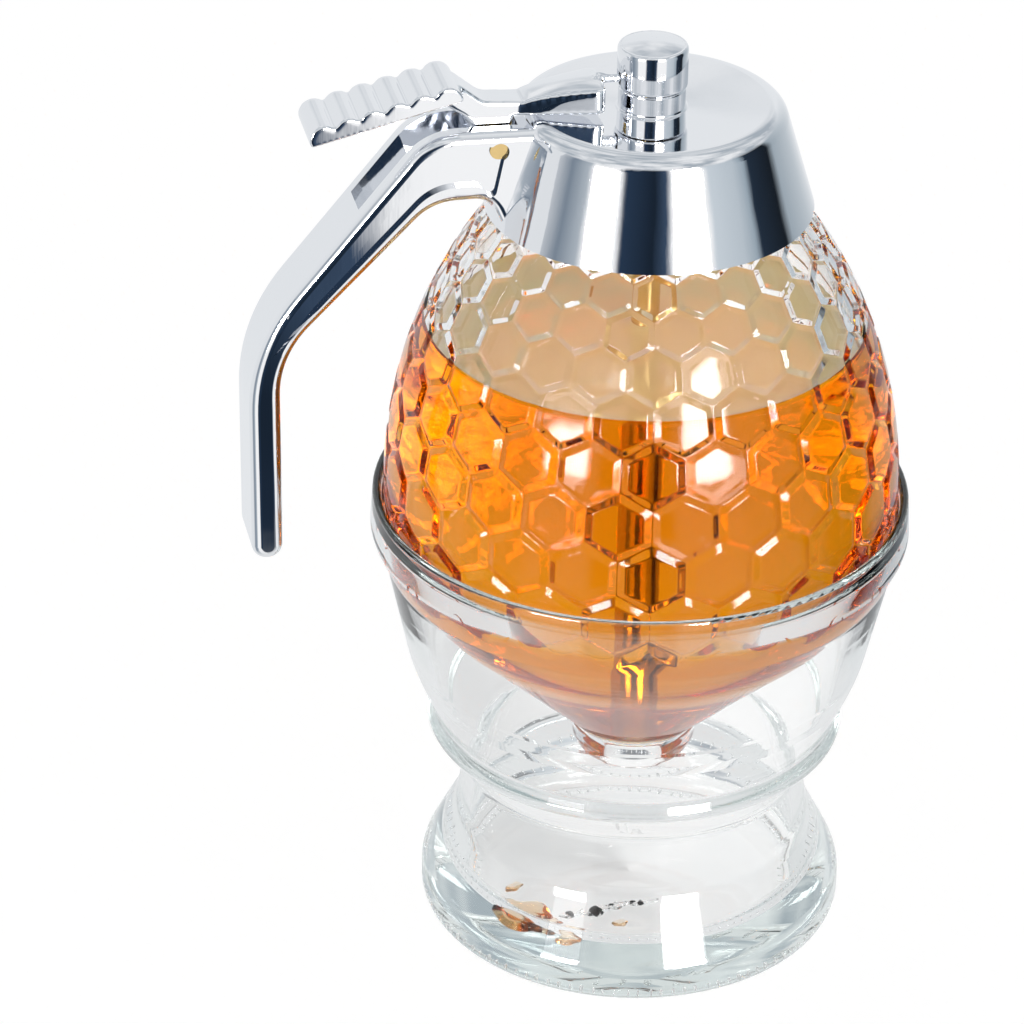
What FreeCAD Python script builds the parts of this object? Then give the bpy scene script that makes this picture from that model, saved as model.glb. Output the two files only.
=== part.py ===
import FreeCAD, Part
import math
import os
import Sketcher

V = FreeCAD.Vector

# Honey dispenser. The origin is on the jar's axis, on the surface that the stand's foot rests on.
# +Z is up, and the handle points along -X. The lever rocks in the XZ plane on a pin in the
# handle's root: pressing its thumb pad down lifts the knob, the rod and the stopper together.

DIMENSIONS = [
    # stand
    ("foot_radius", 34.3), ("heel_height", 6.0), ("foot_top_radius", 28.6), ("foot_top_height", 16.8),
    ("waist_radius", 27.2), ("waist_height", 27.0), ("shoulder_height", 34.5), ("bowl_foot_height", 37.0),
    ("bowl_mid_height", 46.5), ("bowl_top_height", 64.6), ("bead_height", 69.4), ("rim_height", 75.7),
    ("rim_play", 0.5),
    ("stand_wall", 2.5), ("floor_thickness", 5.5), ("push_up", 1.3), ("bearing_radius", 27.0),
    ("rim_wall", 1.3), ("seat_run", 5.0), ("seat_clearance", 0.12), ("bearing_lift", 0.05),
    # jar
    ("jar_radius", 40.3), ("jar_equator_height", 76.5), ("jar_top_arc", 77.0), ("jar_bottom_arc", 30.0),
    ("jar_wall", 2.8), ("neck_radius", 16.6), ("neck_bead", 1.0), ("neck_bead_height", 2.4),
    ("shoulder_top_height", 129.5), ("shoulder_rise", 1.2), ("nub_radius", 10.0),
    ("nub_tip_radius", 9.0), ("nub_chamfer", 0.8), ("outlet_radius", 4.6), ("funnel_radius", 8.0),
    ("relief_depth", 0.5), ("relief_foot_height", 72.5),
    ("honey_level", 104.0), ("fit_gap", 0.05), ("running_gap", 0.3),
    # rod, stopper and knob
    ("rod_radius", 2.2), ("stopper_radius", 5.6), ("stopper_disc", 1.4), ("stopper_tip", 1.2),
    ("knob_radius", 5.35), ("knob_length", 7.5), ("knob_crown", 1.0), ("knob_gap", 0.15),
    ("knob_bore_depth", 4.6), ("lift", 4.3), ("prong_slot", 2.2),
    # lid
    ("lid_foot_height", 125.4), ("lid_height", 142.0), ("lid_play", 0.321),
    ("lid_edge_round", 3.0), ("lid_dish", 0.8), ("lid_wall", 2.0), ("post_radius", 5.1),
    ("post_height", 2.6), ("guide_depth", 7.0),
    # handle
    ("handle_width", 12.4), ("handle_elbow_height", 108.6), ("handle_tip_height", 72.2),
    ("arm_thickness", 4.8), ("arm_round", 1.5), ("grip_elbow_height", 107.0),
    ("web_depth", 0.9), ("web_edge", 2.6), ("web_elbow_height", 107.5),
    ("slot_width", 6.2), ("pin_radius", 1.4),
    # lever
    ("pad_width", 10.6), ("pad_rise", 5.4), ("pad_thickness", 2.0), ("rib_pitch", 3.7),
    ("rib_radius", 2.3), ("rib_rise", 0.85), ("neck_width", 5.2), ("hub_radius", 2.7),
    ("hub_play", 0.6), ("paddle_width", 9.4), ("paddle_end_reach", 7.9), ("paddle_gap", 0.35),
    ("prong_radius", 0.7), ("prong_tip_reach", 2.8),
]
# Sizes that follow another one: (size, the size it follows, its offset from that)
FOLLOWERS = [
    # the stand's bowl follows the jar that sits in it
    ("bowl_foot_radius", "jar_radius", -7.8), ("shoulder_radius", "bowl_foot_radius", 1.2),
    ("bowl_mid_radius", "jar_radius", -3.9), ("bowl_top_radius", "jar_radius", 0.0),
    ("bead_radius", "jar_radius", 2.2),
    # the jar's outlet follows its cone
    ("nub_tip_height", "cone_foot_height", -5.274), ("seat_height", "nub_tip_height", 4.9),
    # the lid, the handle and the lever follow the jar's shoulder, outwards from the lid's top edge
    ("lid_top_radius", "lid_radius", -5.1), ("handle_top_reach", "lid_top_radius", 15.2),
    ("handle_reach", "lid_top_radius", 42.6), ("grip_top_reach", "lid_top_radius", 14.5),
    ("grip_root_reach", "lid_top_radius", 6.0), ("web_reach", "lid_top_radius", 39.0),
    ("slot_reach", "lid_top_radius", 27.7), ("slot_floor_reach", "lid_top_radius", 22.6),
    ("pin_reach", "lid_top_radius", 4.5), ("pad_reach", "lid_top_radius", 32.4),
    ("pad_inner_reach", "lid_top_radius", 10.4), ("paddle_reach", "lid_top_radius", -1.0),
    # and up or down from the lid's top
    ("grip_top_height", "lid_height", -11.4), ("slot_mouth_height", "lid_height", -10.6),
    ("slot_floor_height", "lid_height", -14.8), ("slot_level", "lid_height", -7.8),
    ("pin_height", "lid_height", -3.6), ("pad_height", "lid_height", 1.1),
    ("paddle_height", "lid_height", 4.2), ("prong_height", "lid_height", 4.2),
]
RIBS = 6
PIN_GRIP = 0.02
COLUMNS = 24
FIRST_ROW = 0.135
PAD_HALF_HEIGHT = 0.1407
PATTERN_TURN = 0.24
PAD_TOP = 0.76
PAD_ROOT = 2.6
PAD_SINK = 0.12
SEAT_SIN = math.sin(math.radians(15.8))
SEAT_COS = math.cos(math.radians(15.8))


class Size:
    """A length that knows its value and the sheet expression that it comes from."""

    def __init__(self, value, text):
        self.value = float(value)
        self.text = text

    def _join(self, other, sign, value):
        text = other.text if isinstance(other, Size) else repr(float(other))
        return Size(value, "(" + self.text + " " + sign + " " + text + ")")

    def __add__(self, other):
        return self._join(other, "+", self.value + number(other))

    def __sub__(self, other):
        return self._join(other, "-", self.value - number(other))

    def __mul__(self, other):
        return self._join(other, "*", self.value * number(other))

    def __truediv__(self, other):
        return self._join(other, "/", self.value / number(other))

    def root(self):
        return Size(math.sqrt(self.value), "sqrt(" + self.text + ")")

    def __neg__(self):
        return Size(-self.value, "(0 - " + self.text + ")")


def number(size):
    return size.value if isinstance(size, Size) else float(size)


class Sizes:
    """The named sizes of the sheet."""


doc = FreeCAD.newDocument("HoneyDispenser")
sheet = doc.addObject("Spreadsheet::Sheet", "Dims")
d = Sizes()
offsets = [(alias + "_offset", amount) for alias, _, amount in FOLLOWERS]
for row, (alias, amount) in enumerate(DIMENSIONS + offsets, start=1):
    cell = "B" + str(row)
    sheet.set("A" + str(row), alias)
    sheet.set(cell, str(amount))
    sheet.setAlias(cell, alias)
    setattr(d, alias, Size(amount, "Dims." + alias))
doc.recompute()


def cone_height(radius, inset):
    """Height at which the jar's 45 degree cone, moved inwards by an inset, has a radius."""
    centre = d.jar_radius - d.jar_bottom_arc
    return d.jar_equator_height - centre - (d.jar_bottom_arc - inset) * math.sqrt(2.0) + radius


def upper_radius(height):
    """Outside radius of the jar's upper arc at a height."""
    rise = height - d.jar_equator_height
    return d.jar_radius - d.jar_top_arc + (d.jar_top_arc * d.jar_top_arc - rise * rise).root()


d.cone_foot_height = cone_height(d.nub_radius, 0.0)
d.lid_radius = upper_radius(d.lid_foot_height) + d.lid_play + d.lid_wall
for alias, base, _ in FOLLOWERS:
    setattr(d, alias, getattr(d, base) + getattr(d, alias + "_offset"))


def new_body(label):
    body = doc.addObject("PartDesign::Body", label)
    body.Label = label
    return body


def origin_plane(body, role):
    return [item for item in body.Origin.OriginFeatures if item.Role == role][0]


def place(sketch, geometry, point, axis_name, size):
    """Hold one coordinate of a sketch point at a sheet size."""
    if abs(number(size)) < 1e-9 and not isinstance(size, Size):
        axis = -2 if axis_name == "X" else -1
        return sketch.addConstraint(Sketcher.Constraint("PointOnObject", geometry, point, axis))
    if number(size) >= 0:
        ends, amount = (-1, 1, geometry, point), size
    else:
        ends, amount = (geometry, point, -1, 1), -size
    index = sketch.addConstraint(Sketcher.Constraint("Distance" + axis_name, *ends, number(amount)))
    if isinstance(amount, Size):
        sketch.setExpression("Constraints[" + str(index) + "]", amount.text)
    return index


def tangent_length(before, corner, after, radius):
    first = (before - corner).normalize()
    second = (after - corner).normalize()
    half = first.getAngle(second) / 2.0
    return first, second, radius / math.tan(half), radius / math.sin(half)


def outline(body, name, corners, role="XZ_Plane"):
    """A closed sketch through the corners (x, z, radius), each rounded by its radius or sharp."""
    sketch = body.newObject("Sketcher::SketchObject", name)
    sketch.AttachmentSupport = (origin_plane(body, role), "")
    sketch.MapMode = "FlatFace"
    points = [V(number(x), number(z), 0) for x, z, _ in corners]
    count = len(corners)
    starts, ends, arcs = [], [], []
    for i, (_, _, radius) in enumerate(corners):
        here = points[i]
        if radius is None:
            starts.append(here)
            ends.append(here)
            arcs.append(None)
            continue
        first, second, reach, to_centre = tangent_length(
            points[i - 1], here, points[(i + 1) % count], number(radius))
        centre = here + (first + second).normalize() * to_centre
        enter, leave = here + first * reach, here + second * reach
        middle = centre + (here - centre).normalize() * number(radius)
        starts.append(leave)
        ends.append(enter)
        arcs.append(Part.Arc(enter, middle, leave))
    lines = [sketch.addGeometry(Part.LineSegment(starts[i], ends[(i + 1) % count]), False)
             for i in range(count)]
    for i, (x, z, radius) in enumerate(corners):
        before, after = lines[i - 1], lines[i]
        if radius is None:
            sketch.addConstraint(Sketcher.Constraint("Coincident", before, 2, after, 1))
            place(sketch, after, 1, "X", x)
            place(sketch, after, 1, "Y", z)
            continue
        arc = sketch.addGeometry(arcs[i], False)
        corner = sketch.addGeometry(Part.Point(points[i]), True)
        place(sketch, corner, 1, "X", x)
        place(sketch, corner, 1, "Y", z)
        sketch.addConstraint(Sketcher.Constraint("PointOnObject", corner, 1, before))
        sketch.addConstraint(Sketcher.Constraint("PointOnObject", corner, 1, after))
        to_ends = [sketch.getPoint(arc, end).distanceToPoint(ends[i]) for end in (1, 2)]
        enter_end, leave_end = (1, 2) if to_ends[0] < to_ends[1] else (2, 1)
        sketch.addConstraint(Sketcher.Constraint("Tangent", before, 2, arc, enter_end))
        sketch.addConstraint(Sketcher.Constraint("Tangent", after, 1, arc, leave_end))
        index = sketch.addConstraint(Sketcher.Constraint("Radius", arc, number(radius)))
        if isinstance(radius, Size):
            sketch.setExpression("Constraints[" + str(index) + "]", radius.text)
    return sketch


def revolve(body, name, sketch):
    feature = body.newObject("PartDesign::Revolution", name)
    feature.Profile = sketch
    feature.ReferenceAxis = (sketch, ["V_Axis"])
    feature.Angle = 360
    sketch.Visibility = False
    return feature


def pad(body, name, sketch, width):
    """Pad a sketch of the XZ plane by a width shared equally between +Y and -Y."""
    feature = body.newObject("PartDesign::Pad", name)
    feature.Profile = sketch
    feature.Midplane = True
    feature.Length = number(width)
    feature.setExpression("Length", width.text)
    return feature


def pocket(body, name, sketch, width):
    """Cut a sketch of the XZ plane out over a width shared equally between +Y and -Y."""
    feature = body.newObject("PartDesign::Pocket", name)
    feature.Profile = sketch
    feature.Midplane = True
    feature.Length = number(width)
    feature.setExpression("Length", width.text)
    return feature


def side_pocket(body, name, sketch, side, depth):
    """Cut a sketch into the handle's side face; side is 1 for the near face and -1 for the far one."""
    offset = V(0, 0, side * d.handle_width.value / 2.0)
    sketch.AttachmentOffset = FreeCAD.Placement(offset, FreeCAD.Rotation())
    sketch.setExpression("AttachmentOffset.Base.z", (d.handle_width * (side * 0.5)).text)
    feature = body.newObject("PartDesign::Pocket", name)
    feature.Profile = sketch
    feature.Reversed = side < 0
    feature.Length = depth.value
    feature.setExpression("Length", depth.text)
    return feature


def round_long_edges(body, name, feature, width, radius, keep_sharp):
    """Fillet the edges of a midplane pad's two side faces, apart from those keep_sharp picks out."""
    doc.recompute()
    edges = []
    for index, edge in enumerate(feature.Shape.Edges, start=1):
        middle = edge.valueAt((edge.FirstParameter + edge.LastParameter) / 2.0)
        on_side = all(abs(abs(v.Y) - number(width) / 2.0) < 1e-6 for v in edge.Vertexes)
        if on_side and not keep_sharp(middle):
            edges.append("Edge" + str(index))
    fillet = body.newObject("PartDesign::Fillet", name)
    fillet.Base = (feature, edges)
    fillet.Radius = number(radius)
    fillet.setExpression("Radius", radius.text)
    return fillet


def circle(body, name, x, z, radius, role="XZ_Plane"):
    sketch = body.newObject("Sketcher::SketchObject", name)
    sketch.AttachmentSupport = (origin_plane(body, role), "")
    sketch.MapMode = "FlatFace"
    ring = sketch.addGeometry(Part.Circle(V(number(x), number(z), 0), V(0, 0, 1), number(radius)), False)
    place(sketch, ring, 3, "X", x)
    place(sketch, ring, 3, "Y", z)
    index = sketch.addConstraint(Sketcher.Constraint("Radius", ring, number(radius)))
    sketch.setExpression("Constraints[" + str(index) + "]", radius.text)
    return sketch


def drill(body, name, radius, length):
    """A hole along Y at the pivot pin's place."""
    sketch = circle(body, name + "Circle", -d.pin_reach, d.pin_height, radius)
    return pocket(body, name, sketch, length)


def make_stand():
    """Glass stand: foot, waist and bowl in one blown wall, closed by a thick floor."""
    wall = d.stand_wall
    inner_rim = d.jar_radius + d.rim_play
    rim = inner_rim + d.rim_wall
    arc = d.jar_bottom_arc + d.seat_clearance
    seat_x = d.jar_radius - d.jar_bottom_arc + arc * SEAT_COS
    seat_z = d.jar_equator_height - arc * SEAT_SIN
    seat_rise = (inner_rim - seat_x) / SEAT_SIN
    corners = [
        (0, d.push_up, None),
        (d.bearing_radius, d.bearing_lift, 3.0),
        (d.bearing_radius + 2.0, 0, None),
        (d.foot_radius, 0, 2.4),
        (d.foot_radius - 0.1, d.heel_height, 5.0),
        (d.foot_top_radius, d.foot_top_height, 9.0),
        (d.waist_radius, d.waist_height, 3.0),
        (d.shoulder_radius, d.shoulder_height, 1.6),
        (d.bowl_foot_radius, d.bowl_foot_height, 1.6),
        (d.bowl_mid_radius, d.bowl_mid_height, 30.0),
        (d.bowl_top_radius, d.bowl_top_height, 3.0),
        (d.bead_radius, d.bead_height, 2.6),
        (rim, d.rim_height, 0.6),
        (inner_rim, d.rim_height, 0.6),
        (inner_rim, seat_z + seat_rise * SEAT_COS, 5.0),
        (seat_x - d.seat_run * SEAT_SIN, seat_z - d.seat_run * SEAT_COS, 20.0),
        (d.bowl_mid_radius - wall, d.bowl_mid_height, 20.0),
        (d.bowl_foot_radius - wall, d.bowl_foot_height - 1.0, 4.0),
        (d.waist_radius - wall, d.waist_height, 5.0),
        (d.foot_top_radius - wall, d.foot_top_height, 9.0),
        (d.foot_radius - wall * 2.0, d.floor_thickness, 4.0),
        (0, d.floor_thickness + 0.6, None),
    ]
    body = new_body("stand")
    revolve(body, "StandWall", outline(body, "StandProfile", corners))
    return body


def make_lid():
    """Chrome lid: a hollow cone with a guide post on top, cast in one with the handle."""
    body = new_body("lid")
    inside = -(d.lid_top_radius - d.lid_wall * 0.6)
    root_inside = -(d.lid_radius - d.lid_wall * 0.6)
    grip_reach = d.handle_reach - d.arm_thickness
    handle = [
        (inside, d.lid_height - d.lid_dish, None),
        (-d.handle_top_reach, d.lid_height - d.lid_dish * 0.5, 10.0),
        (-d.handle_reach, d.handle_elbow_height, 30.0),
        (-d.handle_reach, d.handle_tip_height, 2.3),
        (-grip_reach, d.handle_tip_height, 2.3),
        (-grip_reach, d.grip_elbow_height, 16.0),
        (-d.grip_top_reach, d.grip_top_height, 8.0),
        (-d.grip_root_reach, d.grip_top_height, 3.2),
        (root_inside, d.lid_foot_height, None),
    ]
    arm = pad(body, "HandleArm", outline(body, "HandleProfile", handle), d.handle_width)
    round_long_edges(body, "ArmRounding", arm, d.handle_width, d.arm_round,
                     lambda middle: middle.x > -d.grip_root_reach.value)
    corners = [
        (d.rod_radius + d.running_gap, d.lid_height - d.guide_depth, None),
        (d.post_radius, d.lid_height - d.guide_depth, None),
        (d.post_radius, d.lid_height - d.lid_wall, 1.0),
        (d.lid_top_radius - d.lid_wall, d.lid_height - d.lid_wall, 1.5),
        (d.lid_radius - d.lid_wall, d.lid_foot_height, None),
        (d.lid_radius, d.lid_foot_height, None),
        (d.lid_top_radius, d.lid_height, d.lid_edge_round),
        (d.post_radius, d.lid_height - d.lid_dish, 0.4),
        (d.post_radius, d.lid_height + d.post_height, 0.3),
        (d.rod_radius + d.running_gap, d.lid_height + d.post_height, None),
    ]
    revolve(body, "LidShell", outline(body, "LidProfile", corners))
    slot_wall = -(d.pin_reach - d.hub_radius - d.hub_play)
    slot = [
        (-d.slot_reach, d.slot_mouth_height, None),
        (-d.slot_floor_reach, d.slot_floor_height, None),
        (-(d.handle_top_reach + 1.2), d.slot_level, None),
        (slot_wall, d.slot_level, None),
        (slot_wall, d.lid_height + 1.0, None),
        (-d.slot_floor_reach, d.lid_height + 1.0, None),
    ]
    pocket(body, "LeverSlot", outline(body, "SlotProfile", slot), d.slot_width)
    web_top = d.lid_height - d.web_edge
    web_foot = d.grip_top_height + d.web_edge
    web = [
        (-(d.grip_root_reach - d.web_edge), web_top, 0.8),
        (-(d.handle_top_reach - 1.6), web_top, 9.0),
        (-d.web_reach, d.web_elbow_height, None),
        (-d.grip_top_reach, web_foot, 8.0),
        (-(d.grip_root_reach + 1.2), web_foot, 2.0),
        (-(d.grip_root_reach - 0.6), d.grip_top_height - 1.0, 0.8),
    ]
    for side, name in ((1, "NearWeb"), (-1, "FarWeb")):
        side_pocket(body, name, outline(body, name + "Profile", web), side, d.web_depth)
    drill(body, "PinHole", d.pin_radius + PIN_GRIP, d.handle_width + 2.0)
    return body


def make_lever():
    """Chrome lever: ribbed thumb pad, neck, pivot hub, paddle and prong in one."""
    body = new_body("lever")
    lean = d.pad_rise / (d.pad_reach - d.pad_inner_reach)
    inner_height = d.pad_height + d.pad_rise
    plate = [
        (-d.pad_reach, d.pad_height - d.pad_thickness, 0.6),
        (-d.pad_inner_reach, inner_height - d.pad_thickness, None),
        (-d.pad_inner_reach, inner_height, 0.5),
        (-d.pad_reach, d.pad_height, 0.6),
    ]
    pad(body, "PadPlate", outline(body, "PadProfile", plate), d.pad_width)
    for i in range(RIBS):
        along = d.rib_pitch * (i + 0.5)
        x = along - d.pad_reach
        z = d.pad_height + along * lean + d.rib_rise - d.rib_radius
        pad(body, "Rib" + str(i), circle(body, "RibCircle" + str(i), x, z, d.rib_radius), d.pad_width)
    over = d.rib_radius * 2.0
    underside = [
        (-(d.pad_reach + over), d.pad_height - d.pad_thickness - over * lean, None),
        (over - d.pad_inner_reach, inner_height - d.pad_thickness + over * lean, None),
        (over - d.pad_inner_reach, inner_height - d.pad_thickness - over, None),
        (-(d.pad_reach + over), d.pad_height - d.pad_thickness - over * 2.0, None),
    ]
    pocket(body, "PadUnderside", outline(body, "UndersideProfile", underside), d.pad_width + 2.0)
    paddle_root = d.paddle_reach + 2.0
    plan = [
        (-paddle_root, -(d.neck_width * 0.5), None),
        (-d.paddle_end_reach, -(d.paddle_width * 0.5), 1.4),
        (-d.paddle_end_reach, d.paddle_width * 0.5, 1.4),
        (-paddle_root, d.neck_width * 0.5, None),
    ]
    floor = d.lid_height + d.paddle_gap
    sketch = outline(body, "PaddlePlan", plan, "XY_Plane")
    sketch.AttachmentOffset = FreeCAD.Placement(V(0, 0, number(floor)), FreeCAD.Rotation())
    sketch.setExpression("AttachmentOffset.Base.z", floor.text)
    paddle = body.newObject("PartDesign::Pad", "Paddle")
    paddle.Profile = sketch
    paddle.Length = number(d.paddle_height - floor)
    paddle.setExpression("Length", (d.paddle_height - floor).text)
    above = [
        (-(d.paddle_reach + 1.0), d.lid_height + 2.5, None),
        (-d.paddle_end_reach, d.paddle_height, None),
        (-d.paddle_end_reach, d.paddle_height + 1.0, None),
        (-(paddle_root + 1.0), d.paddle_height + 1.0, None),
        (-(paddle_root + 1.0), d.lid_height + 2.5, None),
    ]
    pocket(body, "PaddleSlope", outline(body, "SlopeProfile", above), d.paddle_width + 2.0)
    hub_side = d.pin_reach + d.hub_radius
    spine = [
        (-(d.pad_inner_reach + 3.0), inner_height - d.pad_thickness - 0.6, None),
        (-d.pad_inner_reach, inner_height, 1.0),
        (-(d.pin_reach + 1.6), d.lid_height + 3.0, 3.0),
        (-(d.paddle_reach + 1.0), d.lid_height + 2.5, 6.0),
        (-d.paddle_end_reach, d.paddle_height, 0.5),
        (-d.paddle_end_reach, d.lid_height + d.paddle_gap, 0.4),
        (-d.paddle_reach, d.lid_height + d.paddle_gap, None),
        (-(d.pin_reach - d.hub_radius), d.lid_height + d.paddle_gap, 0.3),
        (-(d.pin_reach - d.hub_radius), d.pin_height, None),
        (-hub_side, d.pin_height, None),
        (-(hub_side + 1.6), d.lid_height + 0.6, 3.0),
    ]
    pad(body, "Spine", outline(body, "SpineProfile", spine), d.neck_width)
    pad(body, "Hub", circle(body, "HubCircle", -d.pin_reach, d.pin_height, d.hub_radius), d.neck_width)
    sketch = circle(body, "ProngCircle", 0, d.prong_height, d.prong_radius, "YZ_Plane")
    sketch.AttachmentOffset = FreeCAD.Placement(V(0, 0, -d.prong_tip_reach.value), FreeCAD.Rotation())
    sketch.setExpression("AttachmentOffset.Base.z", (-d.prong_tip_reach).text)
    prong = body.newObject("PartDesign::Pad", "Prong")
    prong.Profile = sketch
    prong.Reversed = True
    prong.Length = (d.paddle_end_reach - d.prong_tip_reach + 1.0).value
    prong.setExpression("Length", (d.paddle_end_reach - d.prong_tip_reach + 1.0).text)
    drill(body, "PinBore", d.pin_radius + 0.12, d.neck_width + 2.0)
    return body


def make_knob():
    """Chrome knob on top of the guide post, bored for the rod and slotted for the prong."""
    body = new_body("knob")
    foot = d.lid_height + d.post_height + d.knob_gap
    bore = d.rod_radius + PIN_GRIP
    corners = [
        (bore, foot, None),
        (d.knob_radius, foot, 0.3),
        (d.knob_radius, foot + d.knob_length - d.knob_crown, 0.9),
        (0, foot + d.knob_length, None),
        (0, foot + d.knob_bore_depth, None),
        (bore, foot + d.knob_bore_depth, None),
    ]
    revolve(body, "KnobShell", outline(body, "KnobProfile", corners))
    half = d.prong_slot / 2.0
    slot = [
        (-(d.knob_radius + 1.0), d.prong_height - half, None),
        (-(d.rod_radius * 0.5), d.prong_height - half, None),
        (-(d.rod_radius * 0.5), d.prong_height + half, None),
        (-(d.knob_radius + 1.0), d.prong_height + half, None),
    ]
    pocket(body, "ProngSlot", outline(body, "ProngSlotProfile", slot), d.prong_slot)
    return body


def make_rod():
    """Brass rod from the stopper through the guide post into the knob."""
    body = new_body("rod")
    top = d.lid_height + d.post_height + d.knob_gap + d.knob_bore_depth - 0.05
    corners = [
        (0, stopper_top() - d.stopper_disc, None),
        (d.rod_radius, stopper_top() - d.stopper_disc, None),
        (d.rod_radius, top, None),
        (0, top, None),
    ]
    revolve(body, "RodShaft", outline(body, "RodProfile", corners))
    return body


def funnel_slope():
    """Radius gained per unit of height up the jar's funnel."""
    return (d.funnel_radius - d.outlet_radius) / (funnel_top() - d.seat_height)


def funnel_top():
    return cone_height(d.funnel_radius, d.jar_wall)


def stopper_rim():
    """Height at which the stopper's cone reaches its full radius, clear of the funnel."""
    return d.seat_height + (d.stopper_radius + d.running_gap - d.outlet_radius) / funnel_slope()


def stopper_top():
    return stopper_rim() + d.stopper_disc


def make_stopper():
    """Soft stopper: a cone that closes the funnel, on the rod's lower end."""
    body = new_body("stopper")
    tip_radius = d.outlet_radius - d.running_gap
    bore = d.rod_radius + PIN_GRIP
    corners = [
        (0, d.seat_height - d.stopper_tip, None),
        (tip_radius, d.seat_height - d.stopper_tip, 0.5),
        (tip_radius, d.seat_height, None),
        (d.stopper_radius, stopper_rim(), None),
        (d.stopper_radius, stopper_top(), 0.4),
        (bore, stopper_top(), None),
        (bore, stopper_top() - d.stopper_disc - 0.05, None),
        (0, stopper_top() - d.stopper_disc - 0.05, None),
    ]
    revolve(body, "StopperCone", outline(body, "StopperProfile", corners))
    return body


def make_pin():
    """Brass pivot pin across the handle's root."""
    body = new_body("pivot_pin")
    length = d.handle_width - d.web_depth * 2.0 + 0.5
    pad(body, "PinShaft", circle(body, "PinCircle", -d.pin_reach, d.pin_height, d.pin_radius), length)
    return body


class Arc:
    """A circular arc about a centre on the jar's section."""

    def __init__(self, x, z, radius):
        self.x, self.z, self.radius = x, z, radius

    def at_angle(self, angle):
        return V(self.x + self.radius * math.cos(angle), 0, self.z + self.radius * math.sin(angle))

    def at_height(self, height):
        return self.at_angle(math.asin((height - self.z) / self.radius))

    def above_at(self, radius):
        return self.at_angle(math.acos((radius - self.x) / self.radius))

    def edge(self, start, end):
        middle = V((start.x + end.x) / 2.0 - self.x, 0, (start.z + end.z) / 2.0 - self.z)
        middle = V(self.x, 0, self.z) + middle.normalize() * self.radius
        return Part.Arc(start, middle, end).toShape()


def jar_arcs(inset):
    """The jar's lower and upper arcs, moved inwards by an inset."""
    value = {name: getattr(d, name).value for name in
             ("jar_radius", "jar_equator_height", "jar_top_arc", "jar_bottom_arc")}
    equator = value["jar_equator_height"]
    lower = Arc(value["jar_radius"] - value["jar_bottom_arc"], equator, value["jar_bottom_arc"] - inset)
    upper = Arc(value["jar_radius"] - value["jar_top_arc"], equator, value["jar_top_arc"] - inset)
    return lower, upper


def loop(edges, points):
    """Close arcs and the straight runs between listed points into a face."""
    for start, end in zip(points, points[1:]):
        if start.distanceToPoint(end) > 1e-7:
            edges.append(Part.makeLine(start, end))
    wire = Part.Wire(Part.__sortEdges__(edges))
    return Part.Face(wire)


def pattern_angle(centre, radius, height):
    """Angle along an arc at which the pattern's own height is reached.

    That height grows by arc length over distance from the axis, so that the pads keep their
    shape while they shrink towards the lid.
    """
    step = 0.0005
    angle, reached = 0.0, 0.0
    while reached < abs(height):
        reached += radius * step / (centre + radius * math.cos(angle))
        angle += step
    return math.copysign(angle, height)


def pattern_pad(turn, height):
    """One raised hexagon of the honeycomb: a flat pad with sloping sides that stand in the glass."""
    lower, upper = jar_arcs(0.0)
    arc = upper if height >= 0 else lower
    angle = pattern_angle(arc.x, arc.radius, height)
    middle = arc.at_angle(angle)
    out = V(math.cos(angle) * math.cos(turn), math.cos(angle) * math.sin(turn), math.sin(angle))
    across = V(-math.sin(turn), math.cos(turn), 0)
    along = out.cross(across)
    centre = V(middle.x * math.cos(turn), middle.x * math.sin(turn), middle.z)
    half_width = middle.x * math.pi / COLUMNS
    half_height = middle.x * PAD_HALF_HEIGHT
    corners = [(0, 1), (-1, 0.5), (-1, -0.5), (0, -1), (1, -0.5), (1, 0.5)]

    def ring(share, depth):
        return [centre + across * (x * half_width * share) + along * (z * half_height * share) - out * depth
                for x, z in corners]

    depth = d.relief_depth.value
    root = PAD_SINK + depth * PAD_ROOT
    top = ring(PAD_TOP, PAD_SINK)
    base = ring(PAD_TOP + (1.0 - PAD_TOP) * PAD_ROOT, root)
    faces = [Part.Face(Part.makePolygon(side + side[:1])) for side in (top, base)]
    for i in range(6):
        k = (i + 1) % 6
        faces.append(Part.Face(Part.makePolygon([top[i], top[k], base[k], base[i], top[i]])))
    pad_solid = Part.Solid(Part.Shell(faces))
    if pad_solid.Volume < 0:
        pad_solid.reverse()
    return pad_solid


def honeycomb():
    """The pads of every row from the stand's rim up to the lid."""
    pads = []
    foot = V(0, 0, d.relief_foot_height.value)
    keep = Part.makeCylinder(d.jar_radius.value * 2.0, d.lid_height.value, foot)
    for row in range(-1, 7):
        for column in range(COLUMNS):
            turn = 2.0 * math.pi / COLUMNS * (column + PATTERN_TURN - 0.5 * (row % 2))
            solid = pattern_pad(turn, FIRST_ROW + row * 1.5 * PAD_HALF_HEIGHT)
            pads.append(solid.common(keep) if row < 0 else solid)
    return pads


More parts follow.
